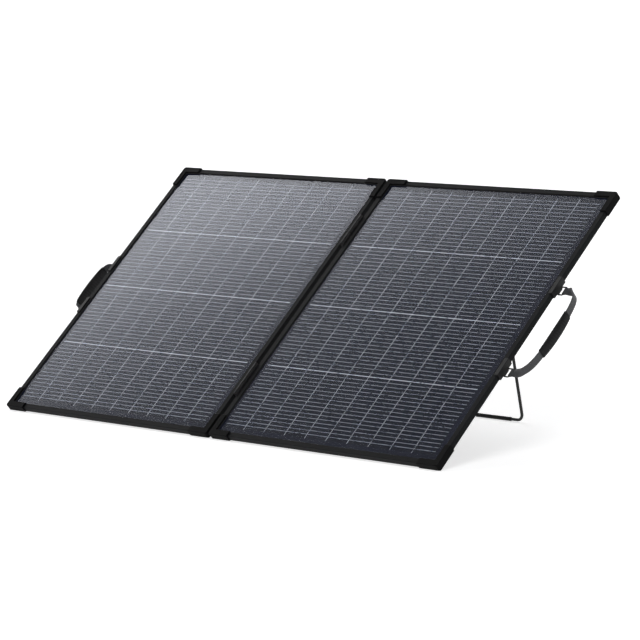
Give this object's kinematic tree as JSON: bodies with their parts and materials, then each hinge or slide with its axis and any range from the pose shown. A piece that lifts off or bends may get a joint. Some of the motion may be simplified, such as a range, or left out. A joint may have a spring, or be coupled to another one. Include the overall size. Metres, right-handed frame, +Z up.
{
  "type": "folding solar panel",
  "caption": "Folding suitcase solar panel: framed glass cell panels hinged at a seam, wire rear legs, corner guards and side carrying handles.",
  "frame": {"origin": "middle of the footprint's bounding box, on the ground", "axes": "+X along both panels, to the right for someone who looks at the glass; the glass faces -Y and up; +Z up"},
  "size_m": [1.4662, 0.6106, 0.5238],
  "materials": {
    "frame": "satin black anodised aluminium",
    "guard": "fine moulded texture",
    "glass": "clear tempered solar glass",
    "cells": "dark navy silicon with silver busbars",
    "back_film": "black back film",
    "steel": "black powder coat",
    "hinge": "black coated steel",
    "rubber": "matt",
    "box_plastic": "fine moulded texture",
    "bracket_plastic": "satin moulded",
    "webbing": "dark grey woven webbing",
    "grip": "black textured padded sleeve"
  },
  "bodies": {
    "right_panel": {"right_top_rail": "frame", "right_bottom_rail": "frame", "right_outer_rail": "frame", "right_seam_rail": "frame", "right_guard_top_outer": "guard", "right_guard_top_seam": "guard", "right_guard_bottom_outer": "guard", "right_guard_bottom_seam": "guard", "right_front_glass": "glass", "right_cell_sheet": "cells", "right_back_sheet": "back_film", "right_cross_bar": "frame", "right_junction_box": "box_plastic", "right_junction_lid": "box_plastic", "right_cable_gland": "box_plastic", "right_leg_bracket_outer": "steel", "right_leg_bracket_seam": "steel", "right_leg_clip": "box_plastic", "right_handle_bracket_upper": "bracket_plastic", "right_handle_bracket_lower": "bracket_plastic", "hinge_leaf_right_upper": "hinge", "hinge_leaf_right_lower": "hinge", "hinge_pin_upper": "hinge", "hinge_pin_lower": "hinge"},
    "right_leg": {"right_leg_rod": "steel", "right_leg_sleeve": "rubber"},
    "right_handle": {"right_handle_ring_upper": "steel", "right_handle_ring_lower": "steel", "right_handle_strap": "webbing", "right_handle_grip": "grip"},
    "left_panel": {"left_top_rail": "frame", "left_bottom_rail": "frame", "left_outer_rail": "frame", "left_seam_rail": "frame", "left_guard_top_outer": "guard", "left_guard_top_seam": "guard", "left_guard_bottom_outer": "guard", "left_guard_bottom_seam": "guard", "left_front_glass": "glass", "left_cell_sheet": "cells", "left_back_sheet": "back_film", "left_cross_bar": "frame", "left_junction_box": "box_plastic", "left_junction_lid": "box_plastic", "left_cable_gland": "box_plastic", "left_leg_bracket_outer": "steel", "left_leg_bracket_seam": "steel", "left_leg_clip": "box_plastic", "left_handle_bracket_upper": "bracket_plastic", "left_handle_bracket_lower": "bracket_plastic", "hinge_leaf_left_upper": "hinge", "hinge_leaf_left_lower": "hinge"},
    "left_leg": {"left_leg_rod": "steel", "left_leg_sleeve": "rubber"},
    "left_handle": {"left_handle_ring_upper": "steel", "left_handle_ring_lower": "steel", "left_handle_strap": "webbing", "left_handle_grip": "grip"}
  },
  "joints": [
    {"name": "fold", "type": "hinge", "parent": "right_panel", "child": "left_panel", "pos_m": [-0.013, -0.00614, 0.26846], "axis": [0, 0.7604, 0.6494], "range_deg": [0, 180]},
    {"name": "right_leg_swing", "type": "hinge", "parent": "right_panel", "child": "right_leg", "pos_m": [0.327, 0.1826, 0.39823], "axis": [-1, 0, 0], "range_deg": [0, 60.9]},
    {"name": "left_leg_swing", "type": "hinge", "parent": "left_panel", "child": "left_leg", "pos_m": [-0.353, 0.1826, 0.39823], "axis": [-1, 0, 0], "range_deg": [0, 60.9]},
    {"name": "right_handle_swing", "type": "hinge", "parent": "right_panel", "child": "right_handle", "pos_m": [0.6614, 0.00705, 0.25302], "axis": [0, 0.7604, 0.6494], "range_deg": [0, 90]},
    {"name": "left_handle_swing", "type": "hinge", "parent": "left_panel", "child": "left_handle", "pos_m": [-0.6874, 0.00705, 0.25302], "axis": [0, -0.7604, -0.6494], "range_deg": [0, 90]}
  ]
}
